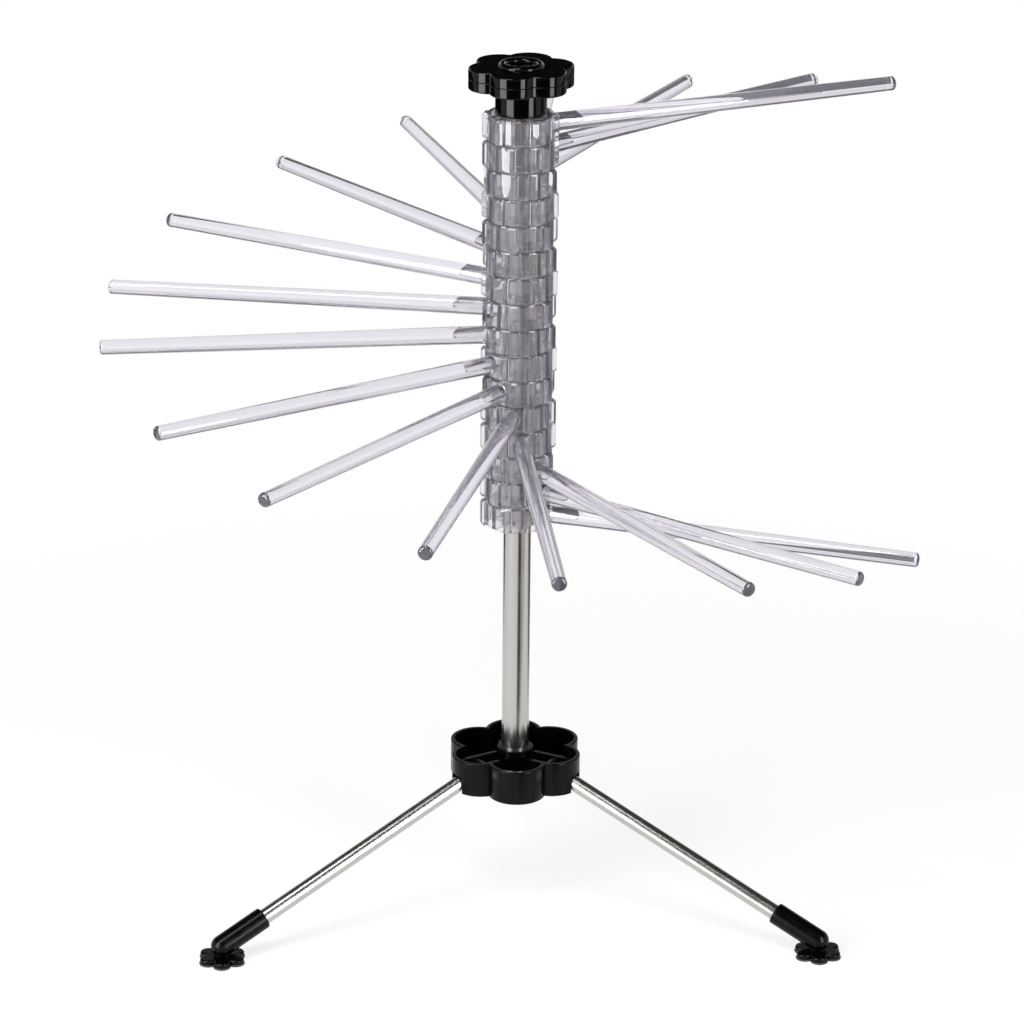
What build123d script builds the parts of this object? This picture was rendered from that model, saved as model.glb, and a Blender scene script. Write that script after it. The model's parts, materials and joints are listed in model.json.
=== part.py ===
from build123d import *
from math import asin, atan2, cos, degrees, radians, sin, sqrt
import os

# Folding pasta drying rack. Sixteen clear arms, each moulded in one with its ring, are
# stacked on a chromed post and fan out as a spiral stair. A lobed knob drives the top
# ring. The post stands in a lobed hub with three folding legs on swivelling feet.
# Millimetres, +Z up. The origin is where the post's axis meets the table.

os.makedirs("parts", exist_ok=True)

# Stand: three legs spread round the post's axis
leg_count = 3
first_leg_turn = -30.0
foot_circle_radius = 173.4
ball_height = 8.0

# Post: a chromed tube with a moulded plug in each end
post_radius = 7.0
post_wall = 1.0
post_entry = 8.0
plug_length = 14.0
plug_clearance = 0.05
post_seat_clearance = 0.05
turning_clearance = 0.3

# Stack of rings, counted from the top, with the direction of each arm round the post
stack_bottom = 202.0
ring_pitch = 13.4
ring_gap = 0.2
arm_turns = [22.2, 40.5, 62.3, 83.6, 104.8, 125.1, 148.2, 169.6,
             185.3, 211.8, 232.9, 255.8, 273.0, 299.1, 319.8, 339.0]
arm_count = len(arm_turns)

# One ring: inner sleeve, top plate and outer wall round a cavity that opens downward
sleeve_wall = 1.6
ring_radius = 16.8
ring_wall = 1.8
ring_top_plate = 1.8
ring_edge = 0.5

# Grip lugs on the ring's outside and the stop ribs inside it, six of each pitch
lug_count = 6
lug_reach = 2.2
lug_width_turn = 15.0
lug_bevel = 1.2
rib_thickness = 2.0

# Stop dogs on top of each ring, which run between the ribs of the ring above
step_play = 27.0
dog_slack_turn = 0.3
dog_inner_gap = 0.5
dog_reach = 2.2
dog_height = 2.5
pocket_clearance = 0.2

# Arm: a tapered round rod with a flat tapered core slot in its root
arm_length = 208.5
rod_root_radius = 4.6
rod_tip_radius = 3.65
rod_tip_round = 1.6
rod_sink = 1.4
core_length = 16.5
core_width = 6.4
core_root_height = 1.6
core_tip_height = 0.5
core_end_round = 3.0

# Cross pin that carries and keys the lowest ring
stack_pin_radius = 1.5
stack_pin_clearance = 0.05
stack_pin_reach = 0.7
stack_pin_edge = 0.3
notch_clearance = 0.15

# Knob: neck, lower shell and cap, round the screw that holds them on the post
neck_radius = 12.75
neck_height = 13.0
knob_lobe_count = 6
knob_lobe_ring_radius = 14.8
knob_lobe_radius = 11.7
knob_turn = 12.7
knob_height = 10.8
knob_edge = 0.8
knob_seam_bevel = 0.35
knob_web = 2.4
web_clearance = 0.2
knob_chamber_radius = 8.0
spigot_clearance = 0.1
spigot_depth = 2.6
dish_radius = 7.1
dish_depth = 0.6
crown_radius = 11.3
crown_height = 1.8
crown_round = 0.85

# Screws: one in the knob and one under the hub
screw_radius = 2.0
screw_thread_clearance = 0.05
screw_head_radius = 4.1
screw_head_height = 2.5
screw_head_edge = 0.6
screw_socket_sides = 6
screw_socket_radius = 1.5
screw_socket_depth = 1.5
screw_grip = 11.0
washer_radius = 6.2
washer_thickness = 0.8
washer_clearance = 0.1

# Hub: six-lobed open tray with a post socket and three forks for the legs
hub_bottom = 61.0
hub_height = 18.0
hub_lobe_count = 6
hub_lobe_ring_radius = 21.0
hub_lobe_radius = 14.7
hub_wall = 2.0
hub_floor = 2.2
hub_edge = 0.6
boss_radius = 9.2
boss_floor = 5.0
boss_lead_in = 0.4
screw_well_clearance = 0.3
screw_well_depth = 2.8
pivot_rise = 9.5
cheek_thickness = 2.0
cheek_drop = 3.5
cheek_sink = 0.8
leg_side_clearance = 0.5
leg_stop_clearance = 0.4

# Leg: chromed tube on a moulded knuckle, with a black boot on its foot end
leg_radius = 4.0
leg_wall = 0.8
eye_radius = 4.2
tube_start = 6.0
spigot_length = 14.0
knuckle_clearance = 0.1
pivot_pin_radius = 1.5
pivot_clearance = 0.06
pivot_head_radius = 2.6
pivot_head_thickness = 1.0
pivot_head_edge = 0.25
pivot_hole_clearance = 0.05
boot_radius = 5.6
boot_length = 26.0
boot_mouth_bevel = 0.7
boot_grip_clearance = 0.05
boot_solid_length = 8.0

# Foot: six-lobed pad on a thin sole, with a ball stud that snaps into the boot
foot_lobe_count = 6
foot_lobe_ring_radius = 7.95
foot_lobe_radius = 4.5
sole_thickness = 1.0
sole_bevel = 0.3
pad_inset = 0.35
pad_thickness = 2.4
pad_edge = 0.7
stud_ball_radius = 2.4
socket_clearance = 0.1
dish_clearance = 0.7
stud_neck_radius = 1.0
stud_base_radius = 1.6
mouth_half_turn = 45.0

# One overrun serves every cut that has to pass a face
overrun = 1.0

# Levels and radii that several pieces share
ring_height = ring_pitch - ring_gap
ring_middle = ring_height / 2
stack_top = stack_bottom + arm_count * ring_pitch - ring_gap
ring_bore_radius = post_radius + turning_clearance
sleeve_radius = ring_bore_radius + sleeve_wall
cavity_radius = ring_radius - ring_wall
cavity_depth = ring_height - ring_top_plate
lug_spacing = 360.0 / lug_count
dog_inner_radius = sleeve_radius + dog_inner_gap
dog_outer_radius = dog_inner_radius + dog_reach
dog_centre_turn = (lug_spacing - step_play) / 2
rib_half_turn = degrees(asin(rib_thickness / 2 / dog_inner_radius))
dog_half_turn = dog_centre_turn - rib_half_turn - dog_slack_turn
pocket_half_turn = dog_half_turn + degrees(asin(pocket_clearance / dog_inner_radius))
post_bore_radius = post_radius - post_wall
post_foot = hub_bottom + boss_floor
post_top = stack_top + post_entry
plug_radius = post_bore_radius - plug_clearance
notch_radius = stack_pin_radius + notch_clearance
notch_height = 2 * notch_radius
stack_pin_height = stack_bottom + notch_height - notch_radius
knob_bottom = stack_top + neck_height
knob_seam = knob_bottom + knob_height / 2
knob_top = knob_bottom + knob_height
web_bottom = post_top + web_clearance
web_top = web_bottom + knob_web
hub_rim = hub_bottom + hub_height
pivot_radius = hub_lobe_ring_radius
pivot_height = hub_bottom + pivot_rise
slot_half_width = leg_radius + leg_side_clearance
cheek_outside = slot_half_width + cheek_thickness
leg_run = foot_circle_radius - pivot_radius
leg_drop = pivot_height - ball_height
leg_fall = degrees(atan2(leg_drop, leg_run))
leg_reach = sqrt(leg_run**2 + leg_drop**2)
tube_end = leg_reach - boot_solid_length
socket_radius = stud_ball_radius + socket_clearance
pad_dish_radius = boot_radius + dish_clearance


def finish(part, label):
    """Name one finished piece and write its file."""
    part.label = label
    export_step(part, f"parts/{label}.step")


def lobed_outline(count, lobe_ring_radius, lobe_radius):
    """Round lobes set evenly on a ring, filled in the middle."""
    with PolarLocations(lobe_ring_radius, count):
        Circle(lobe_radius)
    Circle(lobe_ring_radius)


def turned(plane, turn):
    """The same plane, whose origin is on the post's axis, turned about that axis."""
    return plane.rotated((0, 0, turn))


def sector_points(inner_radius, outer_radius, half_turn):
    """Corners and arc middles of a ring sector that lies across the X axis."""
    across, along = sin(radians(half_turn)), cos(radians(half_turn))
    return [(inner_radius * along, -inner_radius * across),
            (outer_radius * along, -outer_radius * across),
            (outer_radius, 0),
            (outer_radius * along, outer_radius * across),
            (inner_radius * along, inner_radius * across),
            (inner_radius, 0)]


def leg_turn(index):
    """Direction of a leg round the post."""
    return first_leg_turn + index * 360.0 / leg_count


def leg_direction(turn):
    """Unit vector that runs down a leg from its pivot to its foot."""
    across, fall = radians(turn), radians(leg_fall)
    return Vector(cos(across) * cos(fall), sin(across) * cos(fall), -sin(fall))


def leg_tangent(turn):
    """Unit vector along a leg's pivot pin."""
    return Vector(-sin(radians(turn)), cos(radians(turn)), 0)


def pivot_point(turn):
    """Centre of a leg's pivot."""
    return Vector(pivot_radius * cos(radians(turn)), pivot_radius * sin(radians(turn)), pivot_height)


def ball_point(turn):
    """Centre of the ball under a leg."""
    return Vector(foot_circle_radius * cos(radians(turn)), foot_circle_radius * sin(radians(turn)),
                  ball_height)


def foot_plane(turn, level):
    """Level plane under a leg's ball, with its X axis pointing outward along the leg."""
    middle = ball_point(turn)
    outward = Vector(cos(radians(turn)), sin(radians(turn)), 0)
    return Plane(origin=(middle.X, middle.Y, level), x_dir=outward, z_dir=(0, 0, 1))


# Arm moulding, made once with the arm along +X and the ring's underside at zero
with BuildPart() as arm_moulding:
    # Sleeve, top plate and outer wall, turned as one section
    with BuildSketch(Plane.XZ):
        with BuildLine():
            Polyline((ring_bore_radius, 0), (sleeve_radius, 0), (sleeve_radius, cavity_depth),
                     (cavity_radius, cavity_depth), (cavity_radius, 0), (ring_radius - ring_edge, 0),
                     (ring_radius, ring_edge), (ring_radius, ring_height - ring_edge),
                     (ring_radius - ring_edge, ring_height), (ring_bore_radius, ring_height), close=True)
        make_face()
    revolve(axis=Axis.Z)
    # Lugs: bevelled blocks turned through their own width, the arm midway between two of them
    for lug in range(lug_count):
        lug_start = lug * lug_spacing + (lug_spacing - lug_width_turn) / 2
        with BuildSketch(turned(Plane.XZ, lug_start)):
            with BuildLine():
                Polyline((cavity_radius + ring_wall / 2, 0),
                         (ring_radius + lug_reach - lug_bevel, 0),
                         (ring_radius + lug_reach, lug_bevel),
                         (ring_radius + lug_reach, ring_height - lug_bevel),
                         (ring_radius + lug_reach - lug_bevel, ring_height),
                         (cavity_radius + ring_wall / 2, ring_height), close=True)
            make_face()
        revolve(axis=Axis.Z, revolution_arc=lug_width_turn)
    # Stop ribs in the cavity, one midway between any two lugs but where the arm is
    with BuildSketch():
        with PolarLocations((sleeve_radius + cavity_radius) / 2, lug_count - 1, start_angle=lug_spacing,
                            angular_range=360.0 - 2 * lug_spacing, endpoint=True):
            Rectangle(cavity_radius - sleeve_radius + sleeve_wall, rib_thickness)
    extrude(amount=cavity_depth)
    # Stop dogs on the top plate
    for dog in range(lug_count):
        top_plane = Plane.XY.offset(ring_height)
        with BuildSketch(turned(top_plane, dog_centre_turn + dog * lug_spacing)):
            with BuildLine():
                corners = sector_points(dog_inner_radius, dog_outer_radius, dog_half_turn)
                Line(corners[0], corners[1])
                ThreePointArc(corners[1], corners[2], corners[3])
                Line(corners[3], corners[4])
                ThreePointArc(corners[4], corners[5], corners[0])
            make_face()
        extrude(amount=dog_height)
    # Tapered rod with a rounded tip
    rod_axis = Axis((0, 0, ring_middle), (1, 0, 0))
    with BuildSketch(Plane.XZ):
        with BuildLine():
            Polyline((ring_radius - rod_sink, ring_middle),
                     (ring_radius - rod_sink, ring_middle + rod_root_radius),
                     (arm_length, ring_middle + rod_tip_radius), (arm_length, ring_middle), close=True)
        make_face()
        tip_corner = vertices().group_by(Axis.X)[-1].sort_by(Axis.Y)[-1]
        fillet(tip_corner, rod_tip_round)
    revolve(axis=rod_axis)
    # Notches under the sleeve for the cross pin that keys the lowest ring
    with BuildSketch(Plane.XZ):
        with Locations((0, notch_height - notch_radius)):
            Circle(notch_radius)
        with Locations((0, (notch_height - notch_radius) / 2)):
            Rectangle(2 * notch_radius, notch_height - notch_radius)
    extrude(amount=sleeve_radius + notch_clearance, both=True, mode=Mode.SUBTRACT)

# Flat tapered core that leaves the slot in the arm's root
with BuildPart() as root_core:
    with BuildSketch(Plane.XZ):
        with BuildLine():
            Polyline((cavity_radius - overrun, ring_middle - core_root_height / 2),
                     (ring_radius + core_length, ring_middle - core_tip_height / 2),
                     (ring_radius + core_length, ring_middle + core_tip_height / 2),
                     (cavity_radius - overrun, ring_middle + core_root_height / 2), close=True)
        make_face()
    extrude(amount=core_width / 2, both=True)
    fillet(root_core.edges().filter_by(Axis.Z).group_by(Axis.X)[-1], core_end_round)

with BuildPart() as clear_arm:
    add(arm_moulding.part)
    add(root_core.part, mode=Mode.SUBTRACT)

for index, turn in enumerate(arm_turns):
    with BuildPart() as arm:
        with Locations(Location((0, 0, stack_top - ring_height - index * ring_pitch), (0, 0, turn))):
            add(clear_arm.part)
    finish(arm.part, f"arm_{index + 1:02d}")

# Post tube with the cross-pin hole; the pin lies square to the lowest arm
pin_turn = arm_turns[-1] + 90.0
pin_plane = Plane(origin=(0, 0, stack_pin_height), z_dir=(cos(radians(pin_turn)), sin(radians(pin_turn)), 0))

with BuildPart() as post_tube:
    with BuildSketch(Plane.XY.offset(post_foot)):
        Circle(post_radius)
        Circle(post_bore_radius, mode=Mode.SUBTRACT)
    extrude(amount=post_top - post_foot)
    with BuildSketch(pin_plane):
        Circle(stack_pin_radius + stack_pin_clearance)
    extrude(amount=post_radius + overrun, both=True, mode=Mode.SUBTRACT)
finish(post_tube.part, "post_tube")

with BuildPart() as stack_pin:
    with BuildSketch(pin_plane):
        Circle(stack_pin_radius)
    extrude(amount=sleeve_radius + stack_pin_reach, both=True)
    chamfer(stack_pin.edges().filter_by(GeomType.CIRCLE), stack_pin_edge)
finish(stack_pin.part, "stack_pin")


def end_plug(plug_bottom, hole_bottom):
    """Moulded plug in one end of the post, with the screw's hole open at one face."""
    with BuildPart() as plug:
        with BuildSketch(Plane.XY.offset(plug_bottom)):
            Circle(plug_radius)
        extrude(amount=plug_length)
        with BuildSketch(Plane.XY.offset(hole_bottom)):
            Circle(screw_radius + screw_thread_clearance)
        extrude(amount=screw_grip + overrun, mode=Mode.SUBTRACT)
    return plug.part


finish(end_plug(post_top - plug_length, post_top - screw_grip), "post_top_plug")
finish(end_plug(post_foot, post_foot - overrun), "post_bottom_plug")


def pan_screw(seat_plane, shank_length):
    """Pan-head screw whose head stands on a plane and whose shank runs down from it."""
    with BuildPart() as screw:
        with BuildSketch(seat_plane):
            Circle(screw_head_radius)
        extrude(amount=screw_head_height)
        fillet(screw.edges().filter_by(GeomType.CIRCLE), screw_head_edge)
        with BuildSketch(seat_plane):
            Circle(screw_radius)
        extrude(amount=-shank_length)
        with BuildSketch(seat_plane.offset(screw_head_height)):
            RegularPolygon(screw_socket_radius, screw_socket_sides)
        extrude(amount=-screw_socket_depth, mode=Mode.SUBTRACT)
    return screw.part


# Knob screw and washer: they stay with the post while the knob turns round them
washer_seat = web_top + washer_clearance
knob_screw_seat = washer_seat + washer_thickness
finish(pan_screw(Plane.XY.offset(knob_screw_seat), knob_screw_seat - post_top + screw_grip - overrun),
       "knob_screw")

with BuildPart() as knob_washer:
    with BuildSketch(Plane.XY.offset(washer_seat)):
        Circle(washer_radius)
        Circle(screw_radius + screw_thread_clearance, mode=Mode.SUBTRACT)
    extrude(amount=washer_thickness)
finish(knob_washer.part, "knob_washer")

# Knob base: neck with pockets for the top ring's dogs, and the lower half of the lobes
with BuildPart() as knob_base:
    with BuildSketch(turned(Plane.XY.offset(knob_bottom), knob_turn)):
        lobed_outline(knob_lobe_count, knob_lobe_ring_radius, knob_lobe_radius)
    extrude(amount=knob_seam - knob_bottom)
    fillet(knob_base.edges().group_by(Axis.Z)[0], knob_edge)
    chamfer(knob_base.edges().group_by(Axis.Z)[-1], knob_seam_bevel)
    with BuildSketch(Plane.XY.offset(stack_top)):
        Circle(neck_radius)
    extrude(amount=neck_height)
    with BuildSketch(Plane.XY.offset(stack_top)):
        Circle(ring_bore_radius)
    extrude(amount=web_bottom - stack_top, mode=Mode.SUBTRACT)
    with BuildSketch(Plane.XY.offset(web_bottom - overrun)):
        Circle(screw_radius + turning_clearance)
    extrude(amount=knob_web + 2 * overrun, mode=Mode.SUBTRACT)
    with BuildSketch(Plane.XY.offset(web_top)):
        Circle(knob_chamber_radius)
    extrude(amount=knob_seam - web_top + overrun, mode=Mode.SUBTRACT)
    for dog in range(lug_count):
        pocket_turn = arm_turns[0] + dog_centre_turn + dog * lug_spacing
        with BuildSketch(turned(Plane.XY.offset(stack_top), pocket_turn)):
            with BuildLine():
                corners = sector_points(dog_inner_radius - pocket_clearance,
                                        dog_outer_radius + pocket_clearance, pocket_half_turn)
                Line(corners[0], corners[1])
                ThreePointArc(corners[1], corners[2], corners[3])
                Line(corners[3], corners[4])
                ThreePointArc(corners[4], corners[5], corners[0])
            make_face()
        extrude(amount=dog_height + pocket_clearance, mode=Mode.SUBTRACT)
finish(knob_base.part, "knob_base")

# Knob cap: the upper half of the lobes with a raised crown round a shallow dish
with BuildPart() as knob_cap:
    with BuildSketch(turned(Plane.XY.offset(knob_seam), knob_turn)):
        lobed_outline(knob_lobe_count, knob_lobe_ring_radius, knob_lobe_radius)
    extrude(amount=knob_top - knob_seam)
    fillet(knob_cap.edges().group_by(Axis.Z)[-1], knob_edge)
    chamfer(knob_cap.edges().group_by(Axis.Z)[0], knob_seam_bevel)
    with BuildSketch(Plane.XY.offset(knob_top)):
        Circle(crown_radius)
    extrude(amount=crown_height)
    with BuildSketch(Plane.XY.offset(knob_top - dish_depth)):
        Circle(dish_radius)
    extrude(amount=crown_height + dish_depth, mode=Mode.SUBTRACT)
    fillet(knob_cap.edges().filter_by(GeomType.CIRCLE).group_by(Axis.Z)[-1], crown_round)
    with BuildSketch(Plane.XY.offset(knob_seam - spigot_depth)):
        Circle(knob_chamber_radius - spigot_clearance)
    extrude(amount=spigot_depth)
finish(knob_cap.part, "knob_cap")

# Hub tray
with BuildPart() as hub:
    with BuildSketch(turned(Plane.XY.offset(hub_bottom), first_leg_turn)):
        lobed_outline(hub_lobe_count, hub_lobe_ring_radius, hub_lobe_radius)
    extrude(amount=hub_height)
    fillet(hub.edges().group_by(Axis.Z)[0] + hub.edges().group_by(Axis.Z)[-1], hub_edge)
    with BuildSketch(turned(Plane.XY.offset(hub_bottom + hub_floor), first_leg_turn)):
        lobed_outline(hub_lobe_count, hub_lobe_ring_radius, hub_lobe_radius - hub_wall)
    extrude(amount=hub_height, mode=Mode.SUBTRACT)
    # Post socket on a raised floor
    with BuildSketch(Plane.XY.offset(hub_bottom)):
        Circle(boss_radius)
    extrude(amount=hub_height)
    # Cheeks of the three forks, from the boss to the lobe's wall
    cheek_inner_end = boss_radius - cheek_thickness
    cheek_outer_end = hub_lobe_ring_radius + hub_lobe_radius - hub_wall
    for leg in range(leg_count):
        for side in (-1, 1):
            with BuildSketch(turned(Plane.XZ, leg_turn(leg)).offset(side * slot_half_width)):
                with BuildLine():
                    Polyline((cheek_inner_end, hub_bottom), (cheek_outer_end - cheek_sink, hub_bottom),
                             (cheek_outer_end - cheek_sink, hub_rim - cheek_drop),
                             (cheek_inner_end, hub_rim - cheek_drop), close=True)
                make_face()
            extrude(amount=side * cheek_thickness)
    # Post bore, lead-in and the well for the screw under the hub
    with BuildSketch(Plane.XY.offset(post_foot)):
        Circle(post_radius + post_seat_clearance)
    extrude(amount=hub_height, mode=Mode.SUBTRACT)
    bore_mouth = hub.edges().filter_by(GeomType.CIRCLE).filter_by_position(Axis.Z, hub_rim, hub_rim)
    chamfer(bore_mouth.sort_by(SortBy.RADIUS)[0], boss_lead_in)
    with BuildSketch(Plane.XY.offset(hub_bottom)):
        Circle(screw_head_radius + screw_well_clearance)
    extrude(amount=screw_well_depth, mode=Mode.SUBTRACT)
    with BuildSketch(Plane.XY.offset(hub_bottom)):
        Circle(screw_radius + screw_well_clearance)
    extrude(amount=boss_floor + overrun, mode=Mode.SUBTRACT)
    # Slots that let the legs out and down, under a lip that stops them
    slot_inner_end = pivot_radius - eye_radius - leg_side_clearance
    slot_outer_end = hub_lobe_ring_radius + hub_lobe_radius + overrun
    lip_radius = hub_lobe_ring_radius + hub_lobe_radius - hub_wall
    tube_top_rise = leg_radius / cos(radians(leg_fall))
    lip_drop = (lip_radius - pivot_radius) * leg_drop / leg_run
    lip_rise = pivot_rise - lip_drop + tube_top_rise + leg_stop_clearance
    for leg in range(leg_count):
        slot_plane = turned(Plane.XY.offset(hub_bottom - overrun), leg_turn(leg))
        with BuildSketch(slot_plane):
            with Locations(((slot_inner_end + slot_outer_end) / 2, 0)):
                Rectangle(slot_outer_end - slot_inner_end, 2 * slot_half_width)
        extrude(amount=hub_floor + 2 * overrun, mode=Mode.SUBTRACT)
        with BuildSketch(slot_plane):
            with Locations(((cheek_outer_end - cheek_sink - overrun + slot_outer_end) / 2, 0)):
                Rectangle(slot_outer_end - cheek_outer_end + cheek_sink + overrun, 2 * slot_half_width)
        extrude(amount=lip_rise + overrun, mode=Mode.SUBTRACT)
        pin_hole_plane = Plane(origin=pivot_point(leg_turn(leg)), z_dir=leg_tangent(leg_turn(leg)))
        with BuildSketch(pin_hole_plane):
            Circle(pivot_pin_radius + pivot_hole_clearance)
        extrude(amount=cheek_outside + overrun, both=True, mode=Mode.SUBTRACT)
finish(hub.part, "hub")

hub_screw_plane = Plane(origin=(0, 0, hub_bottom + screw_well_depth), z_dir=(0, 0, -1))
finish(pan_screw(hub_screw_plane, boss_floor - screw_well_depth + screw_grip - overrun), "hub_screw")


def make_pivot_pin(turn):
    """Riveted pin across one fork of the hub."""
    with BuildPart() as pin:
        with BuildSketch(Plane(origin=pivot_point(turn), z_dir=leg_tangent(turn))):
            Circle(pivot_pin_radius)
        extrude(amount=cheek_outside, both=True)
        for side in (-1, 1):
            head_origin = pivot_point(turn) + leg_tangent(turn) * (side * cheek_outside)
            with BuildSketch(Plane(origin=head_origin, z_dir=leg_tangent(turn) * side)):
                Circle(pivot_head_radius)
            extrude(amount=pivot_head_thickness)
        chamfer(pin.edges().filter_by(GeomType.CIRCLE).group_by(SortBy.RADIUS)[-1], pivot_head_edge)
    return pin.part


def make_leg_knuckle(turn):
    """Eye on the pivot pin, with a spigot that fills the tube's upper end."""
    axis_plane = Plane(origin=pivot_point(turn), z_dir=leg_direction(turn))
    eye_plane = Plane(origin=pivot_point(turn), z_dir=leg_tangent(turn))
    with BuildPart() as knuckle:
        with BuildSketch(eye_plane):
            Circle(eye_radius)
        extrude(amount=leg_radius, both=True)
        with BuildSketch(axis_plane):
            Circle(leg_radius)
        extrude(amount=tube_start)
        with BuildSketch(axis_plane.offset(tube_start)):
            Circle(leg_radius - leg_wall - knuckle_clearance)
        extrude(amount=spigot_length)
        with BuildSketch(eye_plane):
            Circle(pivot_pin_radius + pivot_clearance)
        extrude(amount=eye_radius + overrun, both=True, mode=Mode.SUBTRACT)
    return knuckle.part


def make_leg_tube(turn):
    """Straight chromed tube from the knuckle into the boot."""
    with BuildPart() as tube:
        with BuildSketch(Plane(origin=pivot_point(turn), z_dir=leg_direction(turn)).offset(tube_start)):
            Circle(leg_radius)
            Circle(leg_radius - leg_wall, mode=Mode.SUBTRACT)
        extrude(amount=tube_end - tube_start)
    return tube.part


def make_leg_boot(turn):
    """Round-ended boot on the tube, hollowed for the foot's ball stud."""
    section = Plane(origin=ball_point(turn), x_dir=leg_direction(turn), z_dir=leg_tangent(turn))
    spin_axis = Axis(ball_point(turn), leg_direction(turn))
    bore = leg_radius + boot_grip_clearance
    with BuildPart() as boot:
        with BuildSketch(section):
            with BuildLine():
                Polyline((boot_radius, 0), (-boot_solid_length, 0), (-boot_solid_length, bore),
                         (-boot_length, bore), (-boot_length, boot_radius - boot_mouth_bevel),
                         (boot_mouth_bevel - boot_length, boot_radius), (0, boot_radius))
                RadiusArc((0, boot_radius), (boot_radius, 0), boot_radius)
            make_face()
        revolve(axis=spin_axis)
        with Locations(ball_point(turn)):
            Sphere(socket_radius, mode=Mode.SUBTRACT)
        mouth_reach = boot_radius + overrun
        mouth_spread = mouth_reach * sin(radians(mouth_half_turn)) / cos(radians(mouth_half_turn))
        with Locations(ball_point(turn) - Vector(0, 0, mouth_reach / 2)):
            Cone(mouth_spread, 0, mouth_reach, mode=Mode.SUBTRACT)
    return boot.part


def make_foot_sole(turn):
    """Thin lobed sole that lies on the table."""
    with BuildPart() as sole:
        with BuildSketch(foot_plane(turn, 0)):
            lobed_outline(foot_lobe_count, foot_lobe_ring_radius, foot_lobe_radius)
        extrude(amount=sole_thickness)
        chamfer(sole.edges().group_by(Axis.Z)[0], sole_bevel)
    return sole.part


def make_foot_pad(turn):
    """Lobed pad with a round dish under the boot and the ball stud in its middle."""
    middle = ball_point(turn)
    with BuildPart() as pad:
        with BuildSketch(foot_plane(turn, sole_thickness)):
            lobed_outline(foot_lobe_count, foot_lobe_ring_radius, foot_lobe_radius - pad_inset)
        extrude(amount=pad_thickness)
        fillet(pad.edges().group_by(Axis.Z)[-1], pad_edge)
        with Locations(middle):
            Sphere(pad_dish_radius, mode=Mode.SUBTRACT)
        stud_bottom = sole_thickness + pad_edge
        stud_height = ball_height - stud_bottom
        with Locations((middle.X, middle.Y, stud_bottom + stud_height / 2)):
            Cone(stud_base_radius, stud_neck_radius, stud_height)
        with Locations(middle):
            Sphere(stud_ball_radius)
    return pad.part


for leg in range(leg_count):
    turn = leg_turn(leg)
    finish(make_pivot_pin(turn), f"pivot_pin_{leg + 1}")
    finish(make_leg_knuckle(turn), f"leg_knuckle_{leg + 1}")
    finish(make_leg_tube(turn), f"leg_tube_{leg + 1}")
    finish(make_leg_boot(turn), f"leg_boot_{leg + 1}")
    finish(make_foot_sole(turn), f"foot_sole_{leg + 1}")
    finish(make_foot_pad(turn), f"foot_pad_{leg + 1}")
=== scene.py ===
"""Dresses the packed pasta drying rack: clear arms, black lobed knob and hub, chromed tubes and feet."""

import json
from math import atan2, cos, degrees, pi, radians, sin, sqrt

import bmesh
import bpy
from mathutils import Matrix, Vector


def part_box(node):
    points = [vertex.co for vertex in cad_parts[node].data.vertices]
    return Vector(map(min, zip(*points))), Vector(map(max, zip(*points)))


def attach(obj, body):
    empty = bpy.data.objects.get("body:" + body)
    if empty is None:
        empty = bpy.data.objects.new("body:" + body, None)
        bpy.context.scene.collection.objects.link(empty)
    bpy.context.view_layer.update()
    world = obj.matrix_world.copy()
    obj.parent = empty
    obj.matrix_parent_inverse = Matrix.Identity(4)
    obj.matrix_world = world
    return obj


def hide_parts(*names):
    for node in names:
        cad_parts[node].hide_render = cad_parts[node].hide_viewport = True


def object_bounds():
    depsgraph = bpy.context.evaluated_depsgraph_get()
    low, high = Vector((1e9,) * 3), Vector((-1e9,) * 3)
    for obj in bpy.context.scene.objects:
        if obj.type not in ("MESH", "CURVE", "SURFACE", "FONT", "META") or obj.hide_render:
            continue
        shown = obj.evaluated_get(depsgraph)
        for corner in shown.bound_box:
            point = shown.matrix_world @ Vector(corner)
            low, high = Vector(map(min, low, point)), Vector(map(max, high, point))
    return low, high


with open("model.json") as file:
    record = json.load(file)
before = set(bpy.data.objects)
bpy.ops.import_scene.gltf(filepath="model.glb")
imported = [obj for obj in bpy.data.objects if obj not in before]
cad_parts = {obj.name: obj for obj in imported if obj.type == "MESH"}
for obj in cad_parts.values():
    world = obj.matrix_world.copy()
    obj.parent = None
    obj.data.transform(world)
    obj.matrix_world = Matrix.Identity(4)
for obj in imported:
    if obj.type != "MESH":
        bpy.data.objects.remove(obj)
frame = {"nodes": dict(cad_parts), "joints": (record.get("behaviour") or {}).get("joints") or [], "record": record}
CAD_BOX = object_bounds()

bl_info = {
    "name": "Pasta Drying Rack",
    "version": (1, 0, 0),
    "blender": (4, 5, 0),
    "location": "View3D > Sidebar > Pasta Rack",
    "description": "Models the visible pieces of a folding pasta drying rack round its packed frame",
    "category": "Add Mesh",
}

# Lengths are in metres, so sizes taken from a drawing are written as so many millimetres
MM = 0.001
ARM_COUNT = 16
LEG_COUNT = 3
LOBES = 6
SPACING = 360 / LOBES
SHARP_ANGLE = radians(32)
MERGE_DISTANCE = 0.002 * MM
# Shares of the reach past which points belong to the tip of an arm or of a lobe
ARM_TIP_SHARE = 0.97
LOBE_TIP_SHARE = 0.995


def length(name, description, millimetres):
    """A length property of the panel, with its default in millimetres."""
    return bpy.props.FloatProperty(name=name, description=description, default=millimetres * MM,
                                   min=0, unit="LENGTH", subtype="DISTANCE", precision=4)


def tint(name, description, code):
    """A colour property of the panel, with its default as an sRGB hex value."""
    return bpy.props.FloatVectorProperty(name=name, description=description, default=linear(code),
                                         size=4, subtype="COLOR", min=0, max=1)


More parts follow.
